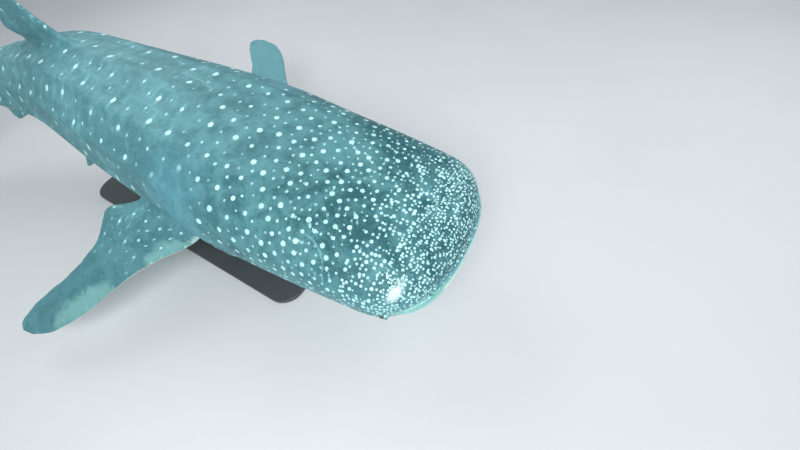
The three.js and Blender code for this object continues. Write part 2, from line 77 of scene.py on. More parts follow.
# Ridge: angle from the back in degrees, half width in degrees, height along the body
RIDGES = [
    (0, 9, [(0.85, 0), (1.40, 0.012), (2.50, 0.014), (2.70, 0)]),
    (28, 7, [(0.80, 0), (1.50, 0.012), (3.30, 0.012), (3.90, 0)]),
    (58, 7, [(0.90, 0), (1.60, 0.014), (3.50, 0.013), (4.15, 0)]),
    (88, 8, [(1.50, 0), (2.20, 0.014), (3.60, 0.018), (4.35, 0.060), (4.75, 0.062), (5.20, 0.020)]),
]

GILL_PLACES = [1.115, 1.200, 1.285, 1.365, 1.440]
GILL_SPAN = [(60, 122), (60, 122), (60, 120), (61, 114), (63, 108)]
GILL_BULGE = 0.034
# Where the rows by the gills start and stop bowing back, and over what length
GILL_BOW = {"from": 1.02, "rise": 0.06, "to": 1.60, "fall": 0.12}
# Along the body from the slit, out of the skin
GILL_PROFILE = [
    (-0.046, 0.0), (-0.026, 0.0025), (-0.012, 0.0072), (-0.006, 0.009), (-0.002, 0.006),
    (0.001, -0.014), (0.003, -0.024), (0.007, -0.020), (0.013, -0.004), (0.026, 0.0),
]

MOUTH = {"level": -0.042, "reach": 0.285, "half_width": 0.452, "half_gap": 0.023, "centre": 0.030}
LIP = {"width": 0.017, "depth": 0.019, "offset": 0.027, "half_span": 0.405, "set": 0.004}
# Radii of the nostril's groove and of the flap by it, and the flap's place from the groove's
NOSTRIL = {
    "side": 0.268, "above": 0.042, "turn": 0.35, "groove": (0.024, 0.011, 0.026),
    "flap": (0.016, 0.020, 0.024), "flap_place": {"back": 0.002, "inward": 0.030, "down": 0.006},
}
EYE = {"place": 0.195, "level": -0.052, "radius": 0.025, "sunk": 0.015}
# How far inside the eye's radius its ball and the rim of skin are, and the gap round the ball
EYE_BALL = {"inset": 0.0042, "gap": 0.0008}
EYE_RIM = {"inset": 0.001, "thick": 0.008, "sunk": 0.010}
SPIRACLE = {"place": 0.370, "level": -0.014, "size": (0.020, 0.016, 0.012)}

# Fin rows: distance out of the root line, front edge, back edge, thickness
# Mesh: steps out along the fin, and steps across each of its faces
PECTORAL = {
    "place": 1.520, "angle": 112, "pivot": 0.220, "curl": -0.060, "mesh": (64, 34),
    "pose": {
        "left": {"turn": 0.185, "droop": -0.084, "tilt": -0.02},
        "right": {"turn": -0.13, "droop": 0.358, "tilt": -0.164},
    },
    "rows": [
        (-0.146, -0.068, 0.410, 0.116), (0, -0.027, 0.547, 0.108), (0.078, 0, 0.700, 0.095),
        (0.168, 0.074, 0.704, 0.082), (0.280, 0.205, 0.680, 0.071), (0.437, 0.355, 0.722, 0.057),
        (0.594, 0.467, 0.802, 0.045), (0.739, 0.569, 0.905, 0.034), (0.863, 0.683, 0.978, 0.024),
        (0.952, 0.798, 1.006, 0.014), (0.995, 0.901, 0.982, 0.007),
    ],
}
PELVIC = {
    "place": 3.040, "angle": 146, "pivot": 0.120, "curl": 0, "mesh": (16, 14),
    "pose": {side: {"turn": 0, "droop": 0.86, "tilt": 0} for side in SIDES},
    "rows": [
        (-0.070, -0.040, 0.225, 0.044), (0, 0, 0.240, 0.038), (0.050, 0.038, 0.318, 0.031),
        (0.105, 0.084, 0.322, 0.024), (0.165, 0.142, 0.300, 0.017), (0.215, 0.202, 0.296, 0.011),
        (0.243, 0.256, 0.288, 0.006),
    ],
}
FIRST_DORSAL = {
    "place": 2.620, "angle": 0, "mesh": (36, 26),
    "rows": [
        (-0.090, -0.060, 0.540, 0.080), (0, 0, 0.560, 0.074), (0.045, 0.072, 0.640, 0.066),
        (0.085, 0.142, 0.690, 0.058), (0.150, 0.214, 0.640, 0.046), (0.240, 0.286, 0.612, 0.035),
        (0.340, 0.370, 0.610, 0.026), (0.430, 0.458, 0.620, 0.017), (0.485, 0.540, 0.626, 0.011),
        (0.510, 0.594, 0.614, 0.006),
    ],
}
SECOND_DORSAL = {
    "place": 3.830, "angle": 0, "mesh": (16, 14),
    "rows": [
        (-0.050, -0.030, 0.250, 0.030), (0, 0, 0.262, 0.026), (0.028, 0.026, 0.338, 0.021),
        (0.060, 0.056, 0.318, 0.017), (0.110, 0.108, 0.300, 0.012), (0.165, 0.172, 0.304, 0.008),
        (0.198, 0.238, 0.298, 0.005),
    ],
}
ANAL = {
    "place": 3.940, "angle": 180, "mesh": (16, 14),
    "rows": [
        (-0.050, -0.030, 0.200, 0.028), (0, 0, 0.210, 0.024), (0.026, 0.026, 0.280, 0.020),
        (0.058, 0.058, 0.268, 0.016), (0.108, 0.112, 0.262, 0.012), (0.160, 0.176, 0.278, 0.008),
        (0.190, 0.240, 0.276, 0.005),
    ],
}
UPPER_LOBE = {
    "place": 4.745, "level": 0.118, "rise": 0.76, "sag": 0.070, "mesh": (70, 20),
    "rows": [
        (-0.030, -0.098, 0.096, 0.096), (0.110, -0.110, 0.140, 0.090), (0.260, -0.116, 0.214, 0.078),
        (0.400, -0.114, 0.262, 0.066), (0.560, -0.104, 0.252, 0.054), (0.780, -0.084, 0.220, 0.042),
        (1.010, -0.056, 0.188, 0.031), (1.200, -0.024, 0.162, 0.022), (1.360, 0.014, 0.144, 0.014),
        (1.480, 0.058, 0.128, 0.009), (1.535, 0.088, 0.112, 0.005),
    ],
}
LOWER_LOBE = {
    "place": 4.745, "level": 0.108, "rise": -0.92, "sag": -0.036, "mesh": (40, 18),
    "rows": [
        (-0.020, -0.080, 0.080, 0.088), (0.110, -0.096, 0.140, 0.072), (0.240, -0.096, 0.208, 0.056),
        (0.380, -0.080, 0.198, 0.042), (0.530, -0.056, 0.162, 0.031), (0.670, -0.024, 0.130, 0.022),
        (0.790, 0.014, 0.104, 0.013), (0.850, 0.044, 0.084, 0.006),
    ],
}
# The stem goes on inside the tail's fin: distance past its end, share of its section
TAIL_CORE = [(0, 1.0), (0.070, 0.8), (0.150, 0.6), (0.240, 0.4), (0.330, 0.2)]
TAIL_CORE_START = -0.006
TAIL_CORE_RISE = 0.62
# Worn back edges of the fins: height of each wave, radians along a metre, and start
WORN_WAVES = [(0.0022, 47, 1.3), (0.0012, 118, 0)]
WORN_SHARE = 0.2
# A fin's last section stands this share of its length short of the tip, which closes it
TIP_SHARE = 0.002

# The snout tip on the spine line, from where the eyes' solids sit


def middle_of(node):
    low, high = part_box(node)
    return (low + high) / 2


SNOUT = (middle_of("eye_left") + middle_of("eye_right")) / 2 + Vector((EYE["place"], 0, -EYE["level"]))


# Shape functions: they take and give numpy arrays


def curve(rows, column=1):
    """A smooth curve through rows that never overshoots."""
    x = np.array([row[0] for row in rows], float)
    y = np.array([row[column] for row in rows], float)
    step = np.diff(x)
    rise = np.diff(y) / step
    slope = np.zeros(len(x))
    slope[0], slope[-1] = rise[0], rise[-1]
    for i in range(1, len(x) - 1):
        if rise[i - 1] * rise[i] > 0:
            slope[i] = (rise[i - 1] * step[i] + rise[i] * step[i - 1]) / (step[i] + step[i - 1])

    def at(value):
        v = np.clip(np.asarray(value, float), x[0], x[-1])
        i = np.clip(np.searchsorted(x, v, side="right") - 1, 0, len(x) - 2)
        u = (v - x[i]) / step[i]
        return (
            (1 + 2 * u) * (1 - u) ** 2 * y[i]
            + u * (1 - u) ** 2 * step[i] * slope[i]
            + u * u * (3 - 2 * u) * y[i + 1]
            + u * u * (u - 1) * step[i] * slope[i + 1]
        )

    return at


def ease(u):
    u = np.clip(u, 0, 1)
    return u * u * (3 - 2 * u)


def yaw_at(s):
    start = SPINE_TURN["centre"] - SPINE_TURN["length"] / 2
    return SPINE_TURN["yaw"] * ease((s - start) / SPINE_TURN["length"])


SPINE_STEP = 0.010
SPINE_LENGTH = 6.41
SPINE_S = np.arange(0, SPINE_LENGTH, SPINE_STEP)
spine_yaw = yaw_at(SPINE_S[:-1] + SPINE_STEP / 2)
SPINE_X = np.concatenate([[0], np.cumsum(-np.cos(spine_yaw) * SPINE_STEP)])
SPINE_Y = np.concatenate([[0], np.cumsum(-np.sin(spine_yaw) * SPINE_STEP)])


def place(s, left, up):
    """Points at a distance behind the snout, out to the animal's left, and up."""
    s, left, up = np.broadcast_arrays(*(np.asarray(v, float) for v in (s, left, up)))
    yaw = yaw_at(s)
    x = np.interp(s, SPINE_S, SPINE_X) - np.sin(yaw) * left - np.minimum(s, 0)
    y = np.interp(s, SPINE_S, SPINE_Y) + np.cos(yaw) * left
    return np.stack([x + SNOUT.x, y + SNOUT.y, up + SNOUT.z], axis=-1)


def unplace(points):
    """The distance behind the snout, left and up of points, as place takes them."""
    x, y, up = (points[:, k] - SNOUT[k] for k in range(3))

    def ahead_and_left(s):
        """How far ahead of the section at s the points are, and how far to its left."""
        yaw = yaw_at(s)
        dx, dy = x - np.interp(s, SPINE_S, SPINE_X), y - np.interp(s, SPINE_S, SPINE_Y)
        return dx * np.cos(yaw) + dy * np.sin(yaw), dy * np.cos(yaw) - dx * np.sin(yaw)

    s = -x
    for _ in range(12):
        s = s - ahead_and_left(s)[0] * 0.9
    return s, ahead_and_left(s)[1], up


half_width, top_level, bottom_level, wide_level = (curve(BODY_STATIONS, k) for k in (1, 2, 3, 4))
square_above, square_below = curve(SQUARE_ABOVE), curve(SQUARE_BELOW)
ridge_curves = [(angle, spread, curve(heights)) for angle, spread, heights in RIDGES]


def rounding(s, shape):
    length, power = shape
    return (1 - np.clip(1 - s / length, 0, 1) ** power) ** (1 / power)


def width_at(s):
    """Half the body's width, with the snout rounded."""
    return half_width(s) * rounding(s, SNOUT_WIDTH)


def section_sizes(s, above):
    """Half width, level of the widest line, height above or below it, and squareness."""
    middle = wide_level(s)
    height = np.where(above, top_level(s) - middle, middle - bottom_level(s))
    power = np.where(above, square_above(s), square_below(s))
    return width_at(s), middle, height * rounding(s, SNOUT_DEPTH), power


def down_either_side(degrees):
    """An angle round the body as an angle from the back, 0 to 180 on both sides."""
    return np.where(degrees > 180, 360 - degrees, degrees)


def skin_point(s, degrees, lift=0.0):
    """Left and up of the skin in the section at s; the angle is from the back."""
    s, degrees = np.broadcast_arrays(np.asarray(s, float), np.asarray(degrees, float))
    t = np.radians(degrees)
    sine, cosine = np.sin(t), np.cos(t)
    wide, middle, height, power = section_sizes(s, cosine >= 0)
    left = wide * np.sign(sine) * np.abs(sine) ** (2 / power)
    up = height * np.sign(cosine) * np.abs(cosine) ** (2 / power)
    side = down_either_side(degrees)
    out = lift + sum(
        ease(1 - np.abs(side - angle) / spread) * tall(s) for angle, spread, tall in ridge_curves
    )
    normal = np.stack([left / np.maximum(wide, 1e-3) ** 2, up / np.maximum(height, 1e-3) ** 2])
    normal = normal / np.maximum(np.linalg.norm(normal, axis=0), 1e-9)
    return left + normal[0] * out, middle + up + normal[1] * out


def gill_share(degrees, span):
    side = down_either_side(degrees)
    u = (side - sum(span) / 2) / ((span[1] - span[0]) / 2)
    return np.sqrt(np.clip(1 - u * u, 0, 1))


gill_profile = curve(GILL_PROFILE)


def body_surface(row, degrees):
    """The body's skin with its gill slits; rows bow towards the tail at the gills."""
    window = ease((row - GILL_BOW["from"]) / GILL_BOW["rise"])
    window = window * ease((GILL_BOW["to"] - row) / GILL_BOW["fall"])
    s = row + GILL_BULGE * gill_share(degrees, GILL_SPAN[0]) ** 2 * window
    lift = sum(
        gill_profile(row - at) * gill_share(degrees, span)
        for at, span in zip(GILL_PLACES, GILL_SPAN)
    )
    return place(s, *skin_point(s, degrees, lift))


SNOUT_S = np.concatenate([[0], np.geomspace(1e-7, SNOUT_WIDTH[0], 3000)])
SNOUT_SIDES = width_at(SNOUT_S)


def front_at(side):
    """How far behind the snout the head is as wide as a half width."""
    return np.interp(side, SNOUT_SIDES, SNOUT_S)


# Mesh tools

# Faces of the skin's own shape, and faces of a shape that is joined to it or cut from it;
# only the hollows, which are cut last, keep the second, as their lining
OWN = 0
ADDED = 1


def piece_from(bm, name, faces=OWN):
    """A mesh object of the shape, with smooth faces that point outwards."""
    bmesh.ops.recalc_face_normals(bm, faces=bm.faces)
    for face in bm.faces:
        face.smooth = True
        face.material_index = faces
    mesh = bpy.data.meshes.new(name)
    bm.to_mesh(mesh)
    bm.free()
    piece = bpy.data.objects.new(name, mesh)
    bpy.context.scene.collection.objects.link(piece)
    return piece


def turn_shape(bm, matrix):
    bmesh.ops.rotate(bm, cent=(0, 0, 0), matrix=matrix, verts=bm.verts)


def wrapped_sheet(name, rows, columns, surface, faces=ADDED):
    """A grid wrapped round into a tube, shaped by a surface function, with closed ends."""
    bm = bmesh.new()
    bmesh.ops.create_grid(bm, x_segments=len(columns), y_segments=len(rows) - 1, size=0.5)
    flat = np.array([v.co[:] for v in bm.verts])
    across = np.rint((flat[:, 0] + 0.5) * len(columns)).astype(int)
    along = np.rint((flat[:, 1] + 0.5) * (len(rows) - 1)).astype(int)
    points = surface(np.asarray(rows)[along], np.asarray(columns)[across % len(columns)])
    for v, co in zip(bm.verts, points):
        v.co = co
    seam = [v for v, c in zip(bm.verts, across) if c in (0, len(columns))]
    bmesh.ops.remove_doubles(bm, verts=seam, dist=1e-6)
    bmesh.ops.holes_fill(bm, edges=[e for e in bm.edges if e.is_boundary], sides=0)
    return piece_from(bm, name, faces)


def ellipsoid(name, centre, radii, turn=0.0, segments=40):
    bm = bmesh.new()
    bmesh.ops.create_uvsphere(bm, u_segments=segments, v_segments=segments // 2, radius=1)
    bmesh.ops.scale(bm, vec=radii, verts=bm.verts)
    turn_shape(bm, Matrix.Rotation(turn, 3, "Z"))
    bmesh.ops.translate(bm, vec=Vector(centre), verts=bm.verts)
    return piece_from(bm, name, ADDED)


def ring_of(name, centre, radius, thick, axis):
    """A round ring, made by spinning a small circle."""
    bm = bmesh.new()
    bmesh.ops.create_circle(bm, segments=12, radius=thick)
    turn_shape(bm, Matrix.Rotation(math.pi / 2, 3, "X"))
    bmesh.ops.translate(bm, vec=(radius, 0, 0), verts=bm.verts)
    bmesh.ops.spin(
        bm, geom=bm.edges[:], cent=(0, 0, 0), axis=(0, 0, 1),
        angle=2 * math.pi, steps=48, use_merge=True,
    )
    bmesh.ops.remove_doubles(bm, verts=bm.verts, dist=1e-6)
    turn_shape(bm, Vector((0, 0, 1)).rotation_difference(Vector(axis)).to_matrix())
    bmesh.ops.translate(bm, vec=Vector(centre), verts=bm.verts)
    return piece_from(bm, name, ADDED)


def combine(piece, tool, operation):
    """Joins or cuts a piece with a tool, which is used up."""
    modifier = piece.modifiers.new("Cut", "BOOLEAN")
    modifier.operation = operation
    modifier.solver = "MANIFOLD"
    modifier.object = tool
    bpy.context.view_layer.update()
    graph = bpy.context.evaluated_depsgraph_get()
    mesh = bpy.data.meshes.new_from_object(piece.evaluated_get(graph))
    piece.modifiers.clear()
    piece.data = mesh
    bpy.data.objects.remove(tool)


def tree_of(points):
    """A tree that finds the nearest of the points."""
    tree = KDTree(len(points))
    for i, point in enumerate(points):
        tree.insert(point, i)
    tree.balance()
    return tree


def soften_seams(piece, passes):
    """Rounds the joints between the skin's own faces and added ones, then makes all its own.

    Each pass has a distance from the joint and a number of rounds.
    """
    bm = bmesh.new()
    bm.from_mesh(piece.data)
    seam = [v for v in bm.verts if len({f.material_index for f in v.link_faces}) > 1]
    tree = tree_of([v.co for v in seam])
    away = {v: tree.find(v.co)[2] for v in bm.verts}
    for radius, rounds in passes:
        near = [v for v, d in away.items() if d < radius]
        for _ in range(rounds):
            bmesh.ops.smooth_vert(
                bm, verts=near, factor=0.5, use_axis_x=True, use_axis_y=True, use_axis_z=True,
            )
    for face in bm.faces:
        face.material_index = OWN
        face.smooth = True
    bm.to_mesh(piece.data)
    bm.free()


# Body of the skin

# Distance behind the snout, and the space between rows there
HEAD_SPACING = [(0, 0.0098), (0.3, 0.0086), (0.6, 0.0102), (1.0, 0.0130), (1.9, 0.0215), (4.8, 0.030)]
# How near a gill slit's own rows no other row comes
GILL_CLEARANCE = 0.004


def body_rows():
    """Rows no further apart on the skin than the spacing, closer at the gill slits."""
    spacing = curve(HEAD_SPACING)
    fine = np.concatenate([np.geomspace(1e-5, 0.02, 400), np.linspace(0.0201, STEM_END, 9000)])
    profile = np.stack([np.stack(skin_point(fine, a)) for a in (0, 90, 180)])
    rows = [0]
    for i in range(1, len(fine)):
        j = rows[-1]
        move = np.hypot(*(profile[:, :, i] - profile[:, :, j]).T).max()
        if math.hypot(move, fine[i] - fine[j]) >= spacing(fine[i]):
            rows.append(i)
    rows = [float(fine[i]) for i in rows]
    slits = [at + offset for at in GILL_PLACES for offset, _ in GILL_PROFILE]
    rows = [s for s in rows if all(abs(s - g) > GILL_CLEARANCE for g in slits)] + slits
    return sorted(rows)[:-1] + [STEM_END]


# Columns from the back down to the angle UPPER_SPAN, and from there to the middle of the belly
UPPER_COLUMNS = 98
LOWER_COLUMNS = 18
UPPER_SPAN = 124
# The section whose outline the columns divide
COLUMN_SECTION = 0.45


def body_columns():
    """Angles round the body, evenly spaced over the back and sides and wider on the belly."""
    half = []
    for low, high, count in ((0, UPPER_SPAN, UPPER_COLUMNS), (UPPER_SPAN, 180, LOWER_COLUMNS)):
        fine = np.linspace(low, high, 4000)
        left, up = skin_point(COLUMN_SECTION, fine)
        along = np.concatenate([[0], np.cumsum(np.hypot(np.diff(left), np.diff(up)))])
        half.append(np.interp(np.linspace(0, along[-1], count, endpoint=False), along, fine))
    half = np.concatenate(half)
    return np.concatenate([half, [180], 360 - half[:0:-1]])


# Fins of the skin


def fin_section_columns(count):
    """Places round a fin's section: 0 to 1 along one face and 1 to 2 back along the other."""
    along = (1 - np.cos(np.linspace(0, math.pi, count + 1))) / 2
    return np.concatenate([along, 2 - along[-2:0:-1]])


def fin_section(rows, r, column):
    """Back along the fin and across it, at a distance out of its root line."""
    front, back, thick = (curve(rows, k)(r) for k in (1, 2, 3))
    u = np.where(column > 1, 2 - column, column)
    sign = np.where(column > 1, -1, 1)
    half = thick / 2 * np.sqrt(np.clip(4 * u * (1 - u), 0, 1)) * (1.25 - 0.75 * u)
    reach = rows[-1][0]
    ripple = sum(height * np.sin(r * waves + start) for height, waves, start in WORN_WAVES)
    worn = ripple * ease((u - 1 + WORN_SHARE) / WORN_SHARE) * np.clip(r / reach * 4, 0, 1)
    return front + (back - front) * u + worn, sign * half


def middle_fin(fin):
    """A fin that stands on the middle line of the back or hangs from the belly's."""
    sign = 1 if fin["angle"] == 0 else -1
    root_length = fin["rows"][1][2]

    def surface(r, column):
        along, across = fin_section(fin["rows"], r, column)
        root = skin_point(fin["place"] + np.clip(along, 0, root_length), fin["angle"])[1]
        return place(fin["place"] + along, across, root + sign * r)

    return surface


def paired_fin(fin, name):
    """A fin turned about its pivot, tilted, then let down from its root."""
    side, pose = SIDES[name], fin["pose"][name]
    degrees = fin["angle"] if side > 0 else 360 - fin["angle"]
    middle, reach = fin["place"] + fin["pivot"], fin["rows"][-1][0]
    left, up = (float(v) for v in skin_point(middle, degrees))
    cosine, sine = math.cos(pose["droop"]), math.sin(pose["droop"])
    turn_cosine, turn_sine = math.cos(pose["turn"]), math.sin(pose["turn"])

    def surface(r, column):
        along, across = fin_section(fin["rows"], r, column)
        chord = along - fin["pivot"]
        out = r * turn_cosine - chord * turn_sine
        back = r * turn_sine + chord * turn_cosine
        lift = across - pose["tilt"] * back + fin["curl"] * np.clip(r / reach, 0, 1) ** 2
        return place(
            middle + back,
            left + side * (out * cosine + lift * sine),
            up - out * sine + lift * cosine,
        )

    return surface


def tail_lobe(fin):
    """A lobe of the tail's fin, which leans back as it rises or falls."""
    cosine, sine = math.cos(fin["rise"]), math.sin(fin["rise"])
    sign, reach = math.copysign(1, fin["rise"]), fin["rows"][-1][0]

    def surface(r, column):
        chord, across = fin_section(fin["rows"], r, column)
        bend = fin["sag"] * np.clip(r / reach, 0, 1) ** 2
        s = fin["place"] + cosine * r + abs(sine) * chord
        return place(s, across, fin["level"] + sine * r - sign * cosine * chord - bend)

    return surface


def tail_core(along, degrees):
    """The stem past its end, where it thins and rises inside the tail's fin."""
    share = curve(TAIL_CORE)(along)
    s = STEM_END + along
    left, up = skin_point(s, degrees)
    middle = wide_level(s)
    return place(s, left * share, middle + (up - middle) * share + along * TAIL_CORE_RISE)


def fin_piece(fin, surface):
    """A fin as a closed sheet, in steps from inside its root to just short of its tip."""
    low, high = fin["rows"][0][0], fin["rows"][-1][0]
    rows, columns = fin["mesh"]
    stations = low + (high - low) * np.linspace(0, 1, rows + 1)
    stations[-1] = high - (high - low) * TIP_SHARE
    return wrapped_sheet("fin", stations, fin_section_columns(columns), surface)


# Head details of the skin


def lip_piece(side):
    """A flattened tube along the front of the head, thinner at the mouth's corners."""
    step = 0.002

    def surface(row, degrees):
        across = np.sin((row - 0.5) * math.pi)
        left = LIP["half_span"] * across
        taper = 1 - 0.55 * across ** 4 - 0.35 * across ** 16
        s = front_at(np.abs(left))
        further = front_at(np.abs(left) + step)
        outward = np.arctan2((further - s) / step * np.sign(left), 1)
        centre = place(s + LIP["set"], left, MOUTH["level"] + side * LIP["offset"] * taper)
        out = LIP["depth"] * taper * np.cos(np.radians(degrees))
        rise = LIP["width"] * taper * np.sin(np.radians(degrees))
        return centre + np.stack([out * np.cos(outward), out * np.sin(outward), rise], axis=-1)

    return wrapped_sheet("lip", np.linspace(0, 1, 81), np.arange(0, 360, 18), surface)


def eye_middle(side):
    skin = float(width_at(EYE["place"]))
    return Vector(place(EYE["place"], side * (skin - EYE["sunk"]), EYE["level"]))


def nostril_at(side, back=0.0, inward=0.0, down=0.0):
    """The middle of a nostril's groove, or a point by it."""
    level = MOUTH["level"] + NOSTRIL["above"]
    return place(front_at(NOSTRIL["side"]) + back, side * (NOSTRIL["side"] - inward), level - down)


def add_face(skin):
    """Joins the lips, the nostrils' flaps and the eyes' rims to the head."""
    for lip in (1, -1):
        combine(skin, lip_piece(lip), "UNION")
    for side in SIDES.values():
        flap = nostril_at(side, **NOSTRIL["flap_place"])
        combine(skin, ellipsoid("flap", flap, NOSTRIL["flap"], -side * NOSTRIL["turn"]), "UNION")
        rim = eye_middle(side) + Vector((0, side * (EYE["sunk"] - EYE_RIM["sunk"]), 0))
        rim_radius = EYE["radius"] - EYE_RIM["inset"]
        combine(skin, ring_of("rim", rim, rim_radius, EYE_RIM["thick"], (0, side, 0)), "UNION")


def add_fins(skin):
    """Joins the fins and the core of the tail to the body."""
    fins = [fin_piece(fin, middle_fin(fin)) for fin in (FIRST_DORSAL, SECOND_DORSAL, ANAL)]
    fins += [fin_piece(fin, tail_lobe(fin)) for fin in (UPPER_LOBE, LOWER_LOBE)]
    core_rows = np.linspace(TAIL_CORE_START, TAIL_CORE[-1][0], 20)
    fins.append(wrapped_sheet("fin", core_rows, body_columns()[::4], tail_core))
    for name in SIDES:
        fins += [fin_piece(fin, paired_fin(fin, name)) for fin in (PECTORAL, PELVIC)]
    for fin in fins:
        combine(skin, fin, "UNION")


def cut_openings(skin):
    """Cuts the mouth, the nostrils' grooves, the eyes' sockets and the spiracles."""
    mouth = place(MOUTH["centre"], 0, MOUTH["level"])
    gap = (MOUTH["reach"], MOUTH["half_width"], MOUTH["half_gap"])
    combine(skin, ellipsoid("mouth", mouth, gap, segments=128), "DIFFERENCE")
    socket_radius = EYE["radius"] - EYE_BALL["inset"] + EYE_BALL["gap"]
    for side in SIDES.values():
        turn = -side * NOSTRIL["turn"]
        groove = ellipsoid("groove", nostril_at(side), NOSTRIL["groove"], turn, segments=24)
        combine(skin, groove, "DIFFERENCE")
        combine(skin, ellipsoid("socket", eye_middle(side), (socket_radius,) * 3), "DIFFERENCE")
        wide = float(width_at(SPIRACLE["place"]))
        hole = place(SPIRACLE["place"], side * wide, SPIRACLE["level"])
        combine(skin, ellipsoid("hole", hole, SPIRACLE["size"], segments=28), "DIFFERENCE")


# Softened joints: distance from the joint, rounds of smoothing
FACE_JOINTS = [(0.016, 2), (0.009, 4)]
FIN_JOINTS = [(0.070, 10), (0.045, 12), (0.020, 10)]


def build_skin():
    skin = wrapped_sheet("skin", body_rows(), body_columns(), body_surface, OWN)
    add_face(skin)
    soften_seams(skin, FACE_JOINTS)
    add_fins(skin)
    soften_seams(skin, FIN_JOINTS)
    cut_openings(skin)
    return skin


# Markings of the skin

# Distance behind the snout, space between large spots, radius of a large spot
SPOT_SIZES = [
    (0.0, 0.041, 0.0084), (0.3, 0.041, 0.0084), (0.5, 0.048, 0.0102), (0.7, 0.060, 0.0118),
    (0.9, 0.077, 0.0130), (1.2, 0.110, 0.0138), (1.5, 0.132, 0.0146), (2.0, 0.158, 0.0156),
    (2.8, 0.175, 0.0166), (3.5, 0.155, 0.0156), (4.5, 0.115, 0.0124), (6.0, 0.095, 0.0105),
]
# Dots of the snout: space between them, radius, and where behind the snout they start and end
SNOUT_DOTS = [
    {"cell": 0.0148, "radius": 0.0062, "start": -0.1, "end": 0.24},
    {"cell": 0.0225, "radius": 0.0084, "start": 0.24, "end": 0.40},
]
SPOT_SEED = 41
SPOT_START = SNOUT_DOTS[-1]["end"] + 0.02
# How much the space between spots varies
SPOT_GAPS = (0.88, 1.12)
# Large spots come first and small ones fill in: space they keep, sizes and brightnesses
LARGE_SPOTS = {"space": 1.0, "size": (0.76, 1.16), "bright": (0.74, 1.0)}
SMALL_SPOTS = {"space": 0.62, "size": (0.44, 0.66), "bright": (0.32, 0.78)}
# A small spot comes no nearer to a large one than this share of the large one's space
SMALL_BY_LARGE = 0.60
# Spots are smaller and closer on the fins and low on the sides
FIN_SPOT_SHARE = 0.66
LOW_SPOTS = {"angle": 92, "share": 0.86}
# Where the pectoral fins are, and how their spots dim towards the tip
PECTORAL_SPOTS = {"to": 2.9, "beside": 0.30, "dim_from": 0.60, "dim_over": 0.40, "dimmed": 0.88}
# Degrees between the rows of spots on the trunk, and how strongly spots keep to them
ROW_ANGLE = 15
ROW_PULL = 2.2
# Fins start this far back, and stand this many times as far out as the body
FINS_FROM = 1.0
OFF_BODY = 1.25
# The angle from the back where the pale belly starts, over how many degrees it fades in, and how
# far short of it the spots stop
BELLY_LINE = 116
BELLY_FADE = 18
BELLY_CLEARANCE = 5
# Paired fins are pale below; the upright ones and the tail's are only a little paler
PAIRED_FINS = {"to": 3.7, "beside": 0.12, "below": 0.38}
UPRIGHT_FINS = {"from": 2.4, "tail_from": 4.75, "beside": 0.10, "paleness": 0.12}
# Painted shade, bluish and without spots, round the gill slits where the pectoral fins join: middle and
# half size, along the body and in degrees
GILL_SHADE_PATCH = {"middle": (1.405, 78), "size": (0.165, 40)}
# The pale patch over the right eye, in the same way
EYE_PATCH = {"middle": (0.152, 56), "size": (0.030, 13)}
# The small dark mark under that patch
DARK_MARK = {"middle": (0.127, 69), "size": (0.010, 4)}
# Pale streaks on the right pectoral fin: distance behind the snout and to the left, half width
FIN_STREAKS = [
    [(2.130, -1.350, 0.050), (2.020, -1.190, 0.075), (1.915, -1.050, 0.055)],
    [(1.730, -0.780, 0.040), (1.640, -0.670, 0.055), (1.560, -0.580, 0.040)],
]
# Thin pale scars: distances behind the snout and degrees from the back, the right side's minus
SCARS = [
    [(0.638, -36.5), (0.566, -38.5), (0.512, -44), (0.479, -52), (0.459, -72)],
    [(1.834, 13.0), (1.690, 12.0), (1.548, 8.5)],
    [(0.505, -63), (0.498, -70)],
]
SCAR_WIDTH = 0.009


def skin_facts(skin):
    """Per vertex: its place, its angle from the back, how far it stands out of the body."""
    count = len(skin.data.vertices)
    points, normals = np.zeros(count * 3), np.zeros(count * 3)
    skin.data.vertices.foreach_get("co", points)
    skin.data.vertices.foreach_get("normal", normals)
    points, normals = points.reshape(-1, 3), normals.reshape(-1, 3)
    s, left, up = unplace(points)
    wide, middle, height, power = section_sizes(np.maximum(s, 0.004), up >= wide_level(s))
    sine = np.abs(left / np.maximum(wide, 1e-3)) ** (power / 2)
    cosine = np.sign(up - middle) * np.abs((up - middle) / np.maximum(height, 1e-3)) ** (power / 2)
    angle = np.degrees(np.arctan2(sine, cosine))
    return {
        "points": points, "normals": normals, "s": s, "left": left, "up": up, "angle": angle,
        "out": np.hypot(sine, cosine),
    }


